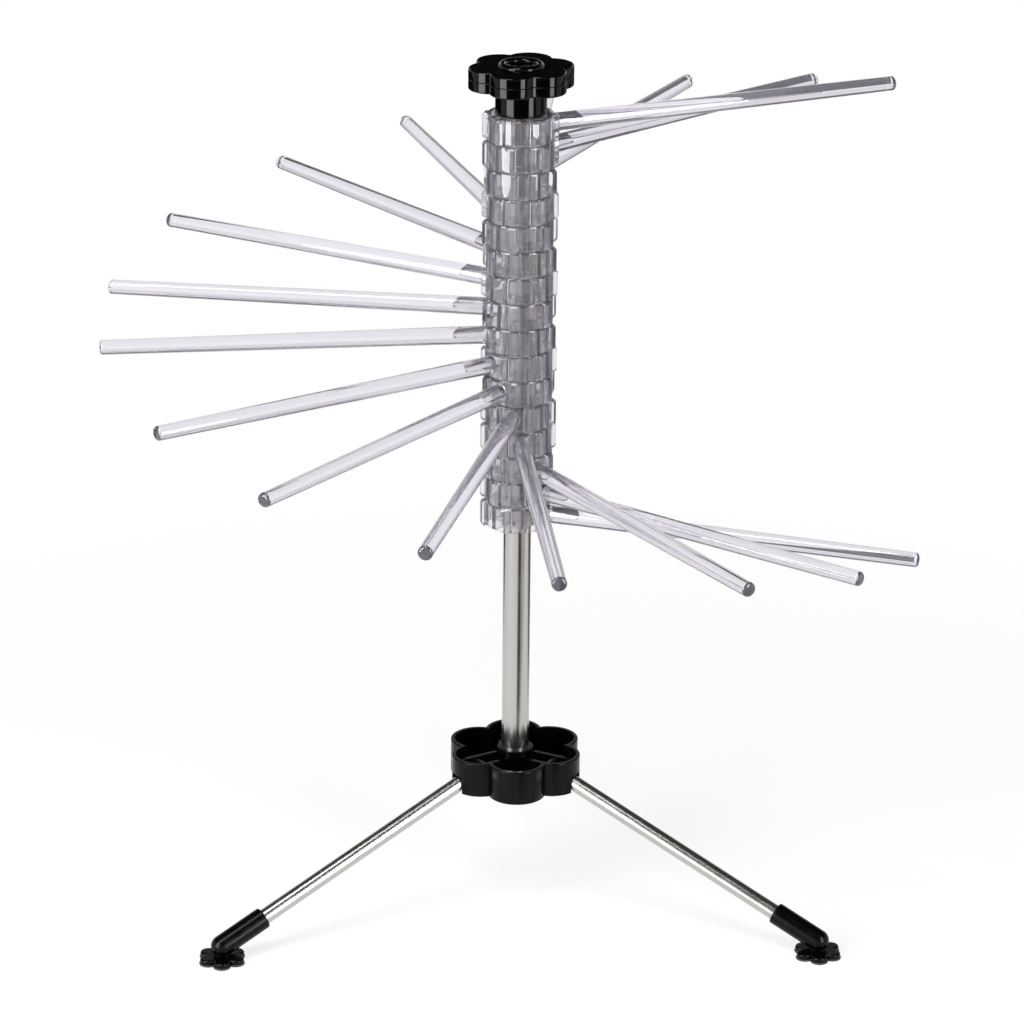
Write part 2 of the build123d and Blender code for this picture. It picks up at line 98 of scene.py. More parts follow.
def linear(code):
    """An sRGB hex value as linear red, green, blue and alpha."""
    parts = [int(code[i:i + 2], 16) / 255 for i in (1, 3, 5)]
    return tuple([p / 12.92 if p <= 0.04045 else ((p + 0.055) / 1.055) ** 2.4 for p in parts] + [1.0])


class RingSizes(bpy.types.PropertyGroup):
    """Sizes of one ring with its arm."""
    bore: length("Bore", "Radius of the hole round the post", 7.3)
    sleeve: length("Sleeve", "Outer radius of the inner sleeve", 8.9)
    cavity: length("Cavity", "Radius of the cavity inside the outer wall", 15.0)
    cavity_depth: length("Cavity depth", "How far the cavity goes up from the underside", 11.4)
    outside: length("Outside", "Radius of the outer wall", 16.8)
    edge: length("Edge", "Bevel of the wall's edges", 0.5)
    height: length("Height", "Height of one ring", 13.2)
    lug_reach: length("Lug reach", "How far a grip lug stands out of the wall", 2.2)
    lug_bevel: length("Lug bevel", "Bevel of a lug's ends", 1.2)
    dog_inside: length("Dog inside", "Inner radius of the stop dogs", 9.4)
    dog_outside: length("Dog outside", "Outer radius of the stop dogs", 11.6)
    dog_height: length("Dog height", "How far the stop dogs stand up", 2.5)
    soft_edge: length("Soft edge", "Rounding of the moulding's sharp edges", 0.16)
    rod_start: length("Rod start", "Where the rod leaves the wall", 15.4)
    rod_root: length("Rod root", "Radius of the rod at its root", 4.6)
    rod_tip: length("Rod tip", "Radius of the rod at its tip", 3.65)
    tip_round: length("Tip round", "Rounding of the rod's tip", 1.6)
    core_end: length("Core end", "Radius at which the slot in the root ends", 33.3)
    core_half_width: length("Core width", "Half the slot's width", 3.2)
    core_root: length("Core root height", "Half the slot's height at the ring", 0.8)
    core_tip: length("Core tip height", "Half the slot's height at its end", 0.25)
    notch: length("Notch", "Half the width of the notches for the cross pin", 1.65)


class KnobSizes(bpy.types.PropertyGroup):
    """Sizes of the knob's two shells."""
    lobe_ring: length("Lobe ring", "Radius on which the lobes are centred", 14.8)
    lobe: length("Lobe", "Radius of one lobe", 11.7)
    edge: length("Edge", "Rounding of the lobes' outer edges", 0.9)
    seam: length("Seam", "Bevel on each side of the seam", 0.35)
    neck: length("Neck", "Radius of the neck", 12.75)
    crown_outside: length("Crown outside", "Outer radius of the raised crown", 11.3)
    crown_inside: length("Crown inside", "Radius of the dish in the crown", 7.1)
    crown_height: length("Crown height", "How far the crown stands up", 1.8)
    dish_depth: length("Dish depth", "How far the dish goes into the cap", 0.6)
    chamber: length("Chamber", "Radius of the hollow between the two shells", 8.0)
    play: length("Play", "Clearance round the dogs and the cap's spigot", 0.2)
    lid: length("Lid", "Plastic between the post's bore and the washer", 2.5)


class HubSizes(bpy.types.PropertyGroup):
    """Sizes of the hub."""
    lobe_ring: length("Lobe ring", "Radius on which the lobes are centred", 21.0)
    lobe: length("Lobe", "Radius of one lobe", 14.7)
    wall: length("Wall", "Thickness of the wall", 2.0)
    floor: length("Floor", "Thickness of the floor", 2.2)
    edge: length("Edge", "Rounding of the rim and the base", 0.6)
    boss: length("Boss", "Outer radius of the post's socket", 9.2)
    boss_bore: length("Boss bore", "Bore of the post's socket", 7.05)
    boss_floor: length("Boss floor", "Height of the socket's floor over the hub's base", 5.0)
    slot_half_width: length("Slot width", "Half the width of a leg's slot", 4.5)
    cheek: length("Cheek", "Thickness of a fork's cheek", 2.0)
    cheek_drop: length("Cheek drop", "How far the cheeks stay under the rim", 3.5)
    slot_run: length("Slot run", "How far a leg's slot starts inside the lobe's centre", 4.7)
    slot_rise: length("Slot rise", "Height of a leg's slot in the wall over the hub's base", 9.2)
    hollow_edge: length("Hollow edge", "Rounding of the hollow's floor", 0.5)
    well: length("Well", "Radius of the well for the screw underneath", 4.4)
    well_depth: length("Well depth", "Depth of that well", 2.8)


class LegSizes(bpy.types.PropertyGroup):
    """Sizes of the tubes, boots and feet."""
    post: length("Post", "Radius of the post tube", 7.0)
    post_wall: length("Post wall", "Wall of the post tube", 1.0)
    post_edge: length("Post edge", "Rounding of the post's rims", 0.3)
    tube: length("Tube", "Radius of a leg tube", 4.0)
    tube_wall: length("Tube wall", "Wall of a leg tube", 0.8)
    tube_edge: length("Tube edge", "Rounding of a leg tube's rims", 0.25)
    tube_start: length("Tube start", "Where the tube starts, from the pivot", 6.0)
    boot: length("Boot", "Radius of the boot", 5.6)
    boot_length: length("Boot length", "Length of the boot from the ball to its mouth", 26.0)
    boot_solid: length("Boot solid", "Solid stretch of the boot over the ball", 8.0)
    boot_edge: length("Boot edge", "Rounding of the boot's mouth", 0.7)
    boot_play: length("Boot play", "Play between the boot's bore and the tube", 0.05)
    ball: length("Ball", "Radius of the foot's ball", 2.4)
    pad_lobe_ring: length("Pad lobe ring", "Radius on which the foot's lobes are centred", 7.95)
    pad_lobe: length("Pad lobe", "Radius of one lobe of the foot", 4.5)
    sole_edge: length("Sole edge", "Rounding of the sole's lower edge", 0.3)
    pad_inset: length("Pad inset", "How far the pad stays inside its sole", 0.35)
    pad_height: length("Pad height", "Height of the pad over its sole", 2.4)
    pad_edge: length("Pad edge", "Rounding of the pad's upper edge", 1.0)
    pad_dish: length("Pad dish", "Radius of the dish round the ball", 5.9)
    stud_base: length("Stud base", "Radius of the ball's stud at its base", 1.6)


class RackColours(bpy.types.PropertyGroup):
    """Colours of the finishes."""
    clear: tint("Clear plastic", "Cast of the clear moulding", "#EFEEF0")
    depth: tint("Clear plastic in depth", "What a long way through the clear moulding lets past", "#B359F3")
    chrome: tint("Chrome", "Reflection of the chromed tubes", "#BEBCB8")
    knob: tint("Knob", "Black of the knob", "#020203")
    hub: tint("Hub", "Black of the hub, boots and feet", "#030304")
    rubber: tint("Sole", "Dark grey of the soles", "#2C2C2E")
    steel: tint("Steel", "Plating of screws and pins", "#A9ABAE")
    floor: tint("Floor", "The floor of the studio", "#F4F4F4")


GROUPS = {"rack_ring": RingSizes, "rack_knob": KnobSizes, "rack_hub": HubSizes,
          "rack_legs": LegSizes, "rack_colours": RackColours}


# Where things are, read from the packed frame

def low(node):
    """Height of a node's lowest point."""
    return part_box(node)[0].z


def high(node):
    """Height of a node's highest point."""
    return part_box(node)[1].z


def middle(node):
    """Middle of a node's box."""
    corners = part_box(node)
    return (corners[0] + corners[1]) / 2


def reach_of(node):
    """Largest distance of a node from the post's axis."""
    return max(v.co.xy.length for v in frame["nodes"][node].data.vertices)


def far_turn(node):
    """Direction round the post in which a node reaches furthest."""
    near_tip = ARM_TIP_SHARE * reach_of(node)
    points = [v.co for v in frame["nodes"][node].data.vertices]
    tip = sum((p for p in points if p.xy.length > near_tip), Vector((0, 0, 0)))
    return atan2(tip.y, tip.x)


def lobe_turn(node):
    """Direction of a lobed node's lobes, from where it reaches furthest, within one spacing."""
    centre = middle(node)
    points = [v.co - centre for v in frame["nodes"][node].data.vertices]
    near_tip = LOBE_TIP_SHARE * max(p.xy.length for p in points)
    turns = [LOBES * atan2(p.y, p.x) for p in points if p.xy.length > near_tip]
    total = sum((Vector((cos(t), sin(t))) for t in turns), Vector((0, 0)))
    return (atan2(total.y, total.x) / LOBES) % radians(SPACING)


def joint(name):
    """The packed record's joint of that name."""
    return next(j for j in frame["joints"] if j["name"] == name)


def leg_line(index):
    """Pivot and ball of a leg, from its two joints."""
    pivot = Vector(joint(f"leg_{index}_fold")["pos_m"])
    ball = Vector(joint(f"foot_{index}_tilt")["pos_m"])
    return pivot, ball


# Mesh helpers

def section(bm, points, closed=True):
    """Outline in the XZ plane, as vertices and edges."""
    verts = [bm.verts.new((x, 0, z)) for x, z in points]
    ends = verts[1:] + verts[:1] if closed else verts[1:]
    return verts + [bm.edges.new(pair) for pair in zip(verts, ends)]


def spin_full(bm, geom, steps, axis=(0, 0, 1)):
    """Turns an outline once round an axis through the origin and closes it."""
    bmesh.ops.spin(bm, geom=geom, cent=(0, 0, 0), axis=axis, dvec=(0, 0, 0), angle=2 * pi,
                   steps=steps, use_merge=True, use_duplicate=False)
    bmesh.ops.remove_doubles(bm, verts=bm.verts, dist=MERGE_DISTANCE)


def arc(centre_x, centre_z, radius, start, end, steps):
    """Points of a round stretch of an outline, with angles in degrees."""
    turns = [radians(start + (end - start) * i / steps) for i in range(steps + 1)]
    return [(centre_x + radius * cos(t), centre_z + radius * sin(t)) for t in turns]


def soften(bm, offset):
    """Rounds the sharp edges of a closed mesh."""
    bmesh.ops.recalc_face_normals(bm, faces=bm.faces)
    edges = [e for e in bm.edges if e.is_manifold and e.calc_face_angle(0) > SHARP_ANGLE]
    bmesh.ops.bevel(bm, geom=edges, offset=offset, offset_type="OFFSET", affect="EDGES",
                    segments=2, profile=0.5, clamp_overlap=True, material=-1)


def new_piece(name, bm):
    """Object at the origin from a mesh, smooth but for its sharp edges."""
    bmesh.ops.remove_doubles(bm, verts=bm.verts, dist=MERGE_DISTANCE)
    bmesh.ops.recalc_face_normals(bm, faces=bm.faces)
    mesh = bpy.data.meshes.new(name)
    bm.to_mesh(mesh)
    bm.free()
    piece = bpy.data.objects.new(name, mesh)
    bpy.context.scene.collection.objects.link(piece)
    shade(mesh)
    return piece


def shade(mesh):
    """Smooth shading that stops at sharp edges."""
    bm = bmesh.new()
    bm.from_mesh(mesh)
    for face in bm.faces:
        face.smooth = True
    for edge in bm.edges:
        edge.smooth = edge.is_manifold and edge.calc_face_angle(0) < SHARP_ANGLE
    bm.to_mesh(mesh)
    bm.free()


def bake_modifiers(piece):
    """Replaces a piece's mesh by the result of its modifiers."""
    graph = bpy.context.evaluated_depsgraph_get()
    result = bpy.data.meshes.new_from_object(piece.evaluated_get(graph))
    piece.modifiers.clear()
    piece.data = result
    result.name = piece.name
    shade(result)


def combine(piece, tool, operation):
    """Adds a tool's solid to a piece, or cuts it away, and removes the tool."""
    modifier = piece.modifiers.new(operation.lower(), "BOOLEAN")
    modifier.operation = operation
    modifier.solver = "EXACT"
    modifier.object = tool
    bake_modifiers(piece)
    bpy.data.objects.remove(tool)


def close_slits(mesh):
    """Welds the slits of no width that a boolean leaves where a long edge passes a corner."""
    bm = bmesh.new()
    bm.from_mesh(mesh)
    slit = [e for e in bm.edges if e.is_boundary]
    corners = {v for e in slit for v in e.verts}
    for edge in slit:
        start, end = edge.verts
        line = end.co - start.co
        for corner in corners - {start, end}:
            share = (corner.co - start.co).dot(line) / line.length_squared
            if 0 < share < 1 and (corner.co - start.co - share * line).length < MERGE_DISTANCE:
                bmesh.utils.edge_split(edge, start, share)
                break
    bmesh.ops.remove_doubles(bm, verts=[v for v in bm.verts if v.is_boundary], dist=MERGE_DISTANCE)
    bm.to_mesh(mesh)
    bm.free()
    shade(mesh)


def place(piece, matrix):
    """Moves a piece's mesh, so that its object stays at the origin."""
    piece.data.transform(matrix)
    return piece


def box_piece(name, lowest, highest):
    """Plain block between two corners, used to fuse or to cut."""
    bm = bmesh.new()
    bmesh.ops.create_cube(bm, size=1)
    size = Vector(highest) - Vector(lowest)
    bmesh.ops.scale(bm, vec=size, verts=bm.verts)
    bmesh.ops.translate(bm, vec=(Vector(highest) + Vector(lowest)) / 2, verts=bm.verts)
    return new_piece(name, bm)


def turned_piece(name, points, steps):
    """Solid of revolution whose outline starts and ends on the axis, or is closed off it."""
    bm = bmesh.new()
    spin_full(bm, section(bm, points), steps)
    return new_piece(name, bm)


def disc_piece(name, radius, bottom, top, steps=96):
    """Plain cylinder on the post's axis, used to fuse or to cut."""
    return turned_piece(name, [(0, bottom), (radius, bottom), (radius, top), (0, top)], steps)


def extrude(bm, faces, rise):
    """Extrudes faces straight up or down."""
    made = bmesh.ops.extrude_face_region(bm, geom=faces)
    verts = [g for g in made["geom"] if isinstance(g, bmesh.types.BMVert)]
    bmesh.ops.translate(bm, vec=(0, 0, rise), verts=verts)


def sector_piece(name, inner, outer, bottom, top, centre, half_turn):
    """Part of a ring between two radii and two heights, half_turn degrees to each side of a direction."""
    turns = [radians(centre - half_turn + half_turn * i / 8) for i in range(17)]
    outline = [(inner * cos(t), inner * sin(t)) for t in turns]
    outline += [(outer * cos(t), outer * sin(t)) for t in reversed(turns)]
    bm = bmesh.new()
    face = bm.faces.new([bm.verts.new((x, y, bottom)) for x, y in outline])
    extrude(bm, [face], top - bottom)
    return new_piece(name, bm)


def lobed_radius(turn, lobe_ring, lobe, inset):
    """Radius in one direction of a six-lobed outline that has been drawn in by an inset."""
    spacing = radians(SPACING)
    off = abs((turn + spacing / 2) % spacing - spacing / 2)
    valley = lobe_ring * cos(spacing / 2) + sqrt(lobe ** 2 - (lobe_ring * sin(spacing / 2)) ** 2)
    beside_lobe, beside_valley = lobe_ring * sin(off), valley * sin(spacing / 2 - off)
    reaches = []
    if beside_lobe <= lobe - inset:
        reaches.append(lobe_ring * cos(off) + sqrt((lobe - inset) ** 2 - beside_lobe ** 2))
    if beside_valley <= inset:
        reaches.append(valley * cos(spacing / 2 - off) - sqrt(inset ** 2 - beside_valley ** 2))
    return min(reaches)


def lobed_loop(bm, level, lobe_ring, lobe, inset, segments):
    """Six-lobed loop at one height: a circle pushed out to the outline."""
    made = bmesh.ops.create_circle(bm, cap_ends=False, radius=1, segments=segments)
    for vert in made["verts"]:
        turn = atan2(vert.co.y, vert.co.x)
        radius = lobed_radius(turn, lobe_ring, lobe, inset)
        vert.co = Vector((radius * cos(turn), radius * sin(turn), level))
    return made["verts"]


def lobed_solid(name, levels, lobe_ring, lobe, segments=216):
    """Closed six-lobed solid from heights and insets, listed from one end to the other."""
    bm = bmesh.new()
    loops = [lobed_loop(bm, level, lobe_ring, lobe, inset, segments) for level, inset in levels]
    borders = [list({edge for vert in loop for edge in vert.link_edges}) for loop in loops]
    for first, second in zip(borders, borders[1:]):
        bmesh.ops.bridge_loops(bm, edges=first + second)
    for loop in (loops[0], loops[-1]):
        bmesh.ops.contextual_create(bm, geom=list(loop))
    return new_piece(name, bm)


# Materials

def add_node(tree, kind, inputs=None, **settings):
    """Adds a shader node with its settings, and sets or links its inputs."""
    node = tree.nodes.new(kind)
    for key, value in settings.items():
        setattr(node, key, value)
    for key, value in (inputs or {}).items():
        if isinstance(value, bpy.types.NodeSocket):
            tree.links.new(value, node.inputs[key])
        else:
            node.inputs[key].default_value = value
    return node


def new_material(name):
    """Empty node material: its tree, its object coordinates and its output."""
    material = bpy.data.materials.new(name)
    material.use_nodes = True
    tree = material.node_tree
    tree.nodes.clear()
    place_node = add_node(tree, "ShaderNodeTexCoord")
    output = add_node(tree, "ShaderNodeOutputMaterial")
    return material, tree, place_node.outputs["Object"], output


def per_metre(millimetres):
    """Scale of a pattern on object coordinates whose features have a real size."""
    return 1 / (millimetres * MM)


def patterned_material(name, colour, rough, relief, settings):
    """Material with a roughness and a relief that each follow a noise. rough gives the size of the noise's
    features in millimetres, its detail, and the noise's and the roughness's least and most. relief gives
    size, detail, strength, and height in millimetres."""
    material, tree, spot, output = new_material(name)
    size, detail, low_noise, high_noise, least, most = rough
    wear = add_node(tree, "ShaderNodeTexNoise", {"Vector": spot, "Scale": per_metre(size), "Detail": detail})
    roughness = add_node(tree, "ShaderNodeMapRange", {
        "Value": wear.outputs["Fac"], "From Min": low_noise, "From Max": high_noise,
        "To Min": least, "To Max": most})
    size, detail, strength, height = relief
    skin = add_node(tree, "ShaderNodeTexNoise", {"Vector": spot, "Scale": per_metre(size), "Detail": detail})
    raised = add_node(tree, "ShaderNodeBump", {
        "Height": skin.outputs["Fac"], "Strength": strength, "Distance": height * MM})
    shader = add_node(tree, "ShaderNodeBsdfPrincipled", {
        "Base Color": colour, "Roughness": roughness.outputs["Result"],
        "Normal": raised.outputs["Normal"], **settings})
    tree.links.new(shader.outputs["BSDF"], output.inputs["Surface"])
    return material


def clear_polystyrene(colours):
    """Clear polystyrene, injection moulded: bright and glassy but not quite free of haze, with faint
    flow waves from the mould, a violet-grey cast that deepens along the arms, and light scuffs."""
    # Scuffs about 1.5 mm across, and flow waves some 9 mm long, far coarser than the sheen of the mould
    material = patterned_material(
        "clear_moulded_polystyrene", colours.clear, (1.5, 4.0, 0.45, 0.8, 0.0, 0.03),
        (9, 2.0, 0.05, 0.4), {"IOR": 1.59, "Transmission Weight": 0.96})
    tree = material.node_tree
    depth = add_node(tree, "ShaderNodeVolumeAbsorption", {"Color": colours.depth, "Density": 9.0})
    tree.links.new(depth.outputs["Volume"], tree.get_output_node("ALL").inputs["Volume"])
    return material


def chromed_tube(colours):
    """Thin chrome plate on drawn steel tube: bright but a little soft from the tube beneath, with a
    few fingerprints that dull it."""
    # Fingerprints 14 mm across, and the plating's orange peel, about 2.5 mm long
    return patterned_material("chromed_steel_tube", colours.chrome, (14, 1.0, 0.4, 0.75, 0.2, 0.24),
                              (2.5, 2.0, 0.002, 0.1), {"Metallic": 1.0})


def gloss_black_abs(colours):
    """Black ABS from a polished mould: a deep gloss with soft sink waves and fine wiping scratches."""
    # Scratches 0.8 mm apart, drawn coarser than real ones so that they show, and sink waves of 11 mm
    return patterned_material("gloss_black_abs", colours.knob, (0.8, 5.0, 0.4, 0.8, 0.05, 0.14),
                              (11, 1.0, 0.06, 0.3), {"IOR": 1.53, "Specular IOR Level": 0.17})


def satin_black_polyamide(colours):
    """Black polyamide from a lightly etched mould: a low satin sheen over a fine grain, a little
    lighter where it has been rubbed."""
    # Rubbed places about 6 mm across, and the etched grain of about 0.5 mm
    return patterned_material("satin_black_polyamide", colours.hub, (6, 4.0, 0.35, 0.7, 0.16, 0.3),
                              (0.5, 3.0, 0.06, 0.06), {"IOR": 1.53, "Specular IOR Level": 0.13})


def sole_rubber(colours):
    """Moulded rubber: dull dark grey with a dusty bloom."""
    # The bloom's specks are about 1.2 mm across
    return patterned_material("sole_rubber", colours.rubber, (1.2, 5.0, 0.3, 0.7, 0.45, 0.65),
                              (1.2, 5.0, 0.15, 0.05), {"IOR": 1.52})


def plated_steel(colours):
    """Zinc-plated steel of screws and pins: grey and half bright, with a fine turned grain."""
    # Turning marks 0.3 mm apart
    return patterned_material("zinc_plated_steel", colours.steel, (0.3, 2.0, 0.3, 0.7, 0.25, 0.4),
                              (0.3, 2.0, 0.1, 0.03), {"Metallic": 1.0})


FINISHES = {"clear_plastic": clear_polystyrene, "chromed_steel": chromed_tube,
            "black_gloss_plastic": gloss_black_abs, "black_satin_plastic": satin_black_polyamide,
            "grey_rubber": sole_rubber, "bright_steel": plated_steel}
made_finishes = {}


def finish_of(slot):
    """The material of one slot, made once."""
    if slot not in made_finishes:
        made_finishes[slot] = FINISHES[slot](bpy.context.scene.rack_colours)
    return made_finishes[slot]


def dress(piece, node, slot):
    """Gives a piece its finish and lets it stand for a node, riding on that node's body."""
    piece.data.materials.clear()
    piece.data.materials.append(finish_of(slot))
    # Flat faces stay flat in the gloss beside their rounded edges
    even = piece.modifiers.new("even_normals", "WEIGHTED_NORMAL")
    even.keep_sharp = True
    body = next(name for name, nodes in frame["record"]["behaviour"]["bodies"].items() if node in nodes)
    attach(piece, body)
    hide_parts(node)


def coat(node, slot):
    """Gives a kept node its finish."""
    mesh = frame["nodes"][node].data
    mesh.materials.clear()
    mesh.materials.append(finish_of(slot))


# Clear arms

RING_STEPS = 240
HALF_STEP = 180 / RING_STEPS
LUG_TURN = 30
LUG_HALF_TURN = 7.5
RIB_HALF_TURN = 4.5
DOG_TURN = 16.5
DOG_HALF_TURN = 10.5


def turn_between(point, centre):
    """Turn in degrees between a point and one direction round the post."""
    return abs((degrees(atan2(point.y, point.x)) - centre + 180) % 360 - 180)


def faces_at(bm, centre, half_turn, test):
    """Faces whose middles lie near one direction round the post and pass a test."""
    middles = [(face, face.calc_center_median()) for face in bm.faces]
    return [face for face, m in middles if turn_between(m, centre) < half_turn and test(m)]


def raise_faces(bm, faces, rise):
    """Draws faces of a closed mesh straight up or down."""
    extrude(bm, faces, rise)
    bmesh.ops.delete(bm, geom=[f for f in faces if f.is_valid], context="FACES")


def ring_mesh():
    """One ring: turned section, lugs pushed out, dogs drawn up and ribs drawn down."""
    s = bpy.context.scene.rack_ring
    bm = bmesh.new()
    outline = [(s.bore, 0), (s.sleeve, 0), (s.sleeve, s.cavity_depth), (s.cavity, s.cavity_depth),
               (s.cavity, 0), (s.outside - s.edge, 0), (s.outside, s.edge), (s.outside, s.lug_bevel),
               (s.outside, s.height - s.lug_bevel), (s.outside, s.height - s.edge),
               (s.outside - s.edge, s.height), (s.dog_outside, s.height), (s.dog_inside, s.height),
               (s.bore, s.height)]
    spin_full(bm, section(bm, outline), RING_STEPS)
    tiny = 0.01 * MM
    # Lugs
    for vert in bm.verts:
        aside = min(turn_between(vert.co, LUG_TURN + lug * SPACING) for lug in range(LOBES))
        if vert.co.xy.length > s.outside - s.edge - tiny and aside < LUG_HALF_TURN + HALF_STEP:
            depth = min(vert.co.z, s.height - vert.co.z, s.lug_bevel)
            reach = s.outside + s.lug_reach - s.lug_bevel + depth
            vert.co.xy = vert.co.xy.normalized() * reach
    # Stop dogs
    for dog in range(LOBES):
        faces = faces_at(bm, DOG_TURN + dog * SPACING, DOG_HALF_TURN, lambda m: m.z > s.height - tiny
                         and s.dog_inside - tiny < m.xy.length < s.dog_outside + tiny)
        raise_faces(bm, faces, s.dog_height)
    # Stop ribs, none behind the arm itself
    for rib in range(1, LOBES):
        centre = rib * SPACING
        faces = faces_at(bm, centre, RIB_HALF_TURN, lambda m: abs(m.z - s.cavity_depth) < tiny)
        raise_faces(bm, faces, -s.cavity_depth)
        bmesh.ops.remove_doubles(bm, verts=bm.verts, dist=MERGE_DISTANCE)
        # Where a rib meets the sleeve and the wall, the faces between them come out
        inner = faces_at(bm, centre, RIB_HALF_TURN, lambda m: tiny < m.z < s.cavity_depth - tiny
                         and min(abs(m.xy.length - r) for r in (s.sleeve, s.cavity)) < 0.1 * MM)
        bmesh.ops.delete(bm, geom=inner, context="FACES")
    soften(bm, s.soft_edge)
    return new_piece("ring_master", bm)


def rod_tool():
    """Tapered round rod along +X with a rounded tip."""
    s = bpy.context.scene.rack_ring
    tip = reach_of("arm_01")
    corner = arc(tip - s.tip_round, s.rod_tip - s.tip_round, s.tip_round, 90, 0, 8)
    outline = [(s.rod_start, 0), (s.rod_start, s.rod_root)] + corner + [(tip, 0)]
    bm = bmesh.new()
    spin_full(bm, section(bm, outline, closed=False), 72, axis=(1, 0, 0))
    bmesh.ops.translate(bm, vec=(0, 0, s.height / 2), verts=bm.verts)
    return new_piece("rod_tool", bm)


def core_tool():
    """Flat wedge with a rounded end that leaves the slot in the arm's root."""
    s = bpy.context.scene.rack_ring
    start = s.cavity - s.soft_edge
    outline = [(start, -s.core_half_width)]
    outline += arc(s.core_end - s.core_half_width, 0, s.core_half_width, -90, 90, 16)
    outline += [(start, s.core_half_width)]
    bm = bmesh.new()
    face = bm.faces.new([bm.verts.new((x, y, 0)) for x, y in outline])
    extrude(bm, [face], 1)
    for vert in bm.verts:
        share = (vert.co.x - start) / (s.core_end - start)
        half = s.core_root + (s.core_tip - s.core_root) * share
        vert.co.z = s.height / 2 + (half if vert.co.z > 0.5 else -half)
    return new_piece("core_tool", bm)


def arm_master():
    """The arm moulding along +X with its underside at zero."""
    s = bpy.context.scene.rack_ring
    ring = ring_mesh()
    combine(ring, rod_tool(), "UNION")
    combine(ring, core_tool(), "DIFFERENCE")
    near, far = s.bore - MM, s.sleeve + MM / 2
    for start, end in ((-far, -near), (near, far)):
        notch = box_piece("notch_tool", (-s.notch, start, -MM), (s.notch, end, 2 * s.notch))
        combine(ring, notch, "DIFFERENCE")
    return ring


class RACK_OT_arms(bpy.types.Operator):
    """Model the clear arms and place one on each ring's node"""
    bl_idname = "rack.arms"
    bl_label = "Clear Arms"

    def execute(self, context):
        master = arm_master()
        for index in range(1, ARM_COUNT + 1):
            node = f"arm_{index:02d}"
            arm = bpy.data.objects.new(f"clear_arm_{index:02d}", master.data.copy())
            context.scene.collection.objects.link(arm)
            turn = Matrix.Rotation(far_turn(node), 4, "Z")
            place(arm, Matrix.Translation((0, 0, low(node))) @ turn)
            dress(arm, node, "clear_plastic")
        bpy.data.objects.remove(master)
        return {"FINISHED"}


# Knob

# Play to each side of a dog in its pocket, in degrees
POCKET_PLAY = 1.1


def rounded_levels(bottom, top, bottom_edge, top_edge, steps=4):
    """Heights and insets of a lobed solid with a rounded edge at each end."""
    levels = [(bottom + bottom_edge * (1 - cos(radians(90 * i / steps))),
               bottom_edge * (1 - sin(radians(90 * i / steps)))) for i in range(steps + 1)]
    levels += [(top - top_edge * (1 - sin(radians(90 * i / steps))),
                top_edge * (1 - cos(radians(90 * i / steps)))) for i in range(steps + 1)]
    return levels


class RACK_OT_knob(bpy.types.Operator):
    """Model the two shells of the lobed knob"""
    bl_idname = "rack.knob"
    bl_label = "Knob"

    def execute(self, context):
        s = context.scene.rack_knob
        ring = context.scene.rack_ring
        turn = Matrix.Rotation(lobe_turn("knob_cap"), 4, "Z")
        foot, seam = low("knob_base"), high("knob_base")
        lobes_top = high("knob_cap") - s.crown_height
        lobes_bottom = seam - (lobes_top - seam)
        seat = low("knob_washer")
        base = lobed_solid("knob_base_shell", rounded_levels(lobes_bottom, seam, s.edge, s.seam),
                           s.lobe_ring, s.lobe)
        place(base, turn)
        fillet = arc(s.neck + s.edge, lobes_bottom - s.edge, s.edge, 180, 90, 5)
        neck = [(0, foot), (s.neck - s.seam, foot), (s.neck, foot + s.seam)] + fillet
        neck += [(s.neck + s.edge, lobes_bottom + MM), (0, lobes_bottom + MM)]
        combine(base, turned_piece("neck_tool", neck, 144), "UNION")
        combine(base, disc_piece("bore_tool", ring.bore, foot - MM, seat - s.lid), "DIFFERENCE")
        combine(base, disc_piece("chamber_tool", s.chamber, seat - s.play / 2, seam + MM), "DIFFERENCE")
        first = degrees(far_turn("arm_01")) + DOG_TURN
        for dog in range(LOBES):
            pocket = sector_piece("pocket_tool", ring.dog_inside - s.play, ring.dog_outside + s.play,
                                  foot - MM, foot + ring.dog_height + s.play,
                                  first + dog * SPACING, DOG_HALF_TURN + POCKET_PLAY)
            combine(base, pocket, "DIFFERENCE")
        dress(base, "knob_base", "black_gloss_plastic")

        cap = lobed_solid("knob_cap_shell", rounded_levels(seam, lobes_top, s.seam, s.edge),
                          s.lobe_ring, s.lobe)
        place(cap, turn)
        width = (s.crown_outside - s.crown_inside) / 2
        centre = (s.crown_outside + s.crown_inside) / 2
        rise = s.crown_height
        bead = [(centre + width * cos(t), lobes_top + rise * sin(t))
                for t in [radians(9 * i) for i in range(21)]]
        bead = [(s.crown_outside, lobes_top - MM)] + bead + [(s.crown_inside, lobes_top - MM)]
        combine(cap, turned_piece("crown_tool", bead, 144), "UNION")
        slope, floor = s.crown_inside * 1.02, lobes_top - s.dish_depth
        dish = [(0, floor), (slope * 0.8, floor), (slope, lobes_top + 0.35 * rise),
                (slope, lobes_top + 2 * rise), (0, lobes_top + 2 * rise)]
        combine(cap, turned_piece("dish_tool", dish, 144), "DIFFERENCE")
        spigot = disc_piece("spigot_tool", s.chamber - s.play / 2, low("knob_cap"), seam + MM)
        combine(cap, spigot, "UNION")
        dress(cap, "knob_cap", "black_gloss_plastic")
        coat("knob_screw", "bright_steel")
        coat("knob_washer", "bright_steel")
        return {"FINISHED"}


# Post, hub and legs

def tube_points(start, end, radius, wall, edge):
    """Outline of a tube's wall between two stations, with its outer rims rounded."""
    rims = arc(radius - edge, start + edge, edge, -90, 0, 3) + arc(radius - edge, end - edge, edge, 0, 90, 3)
    return [(radius - wall, start), (radius - edge, start)] + rims + [(radius - wall, end)]


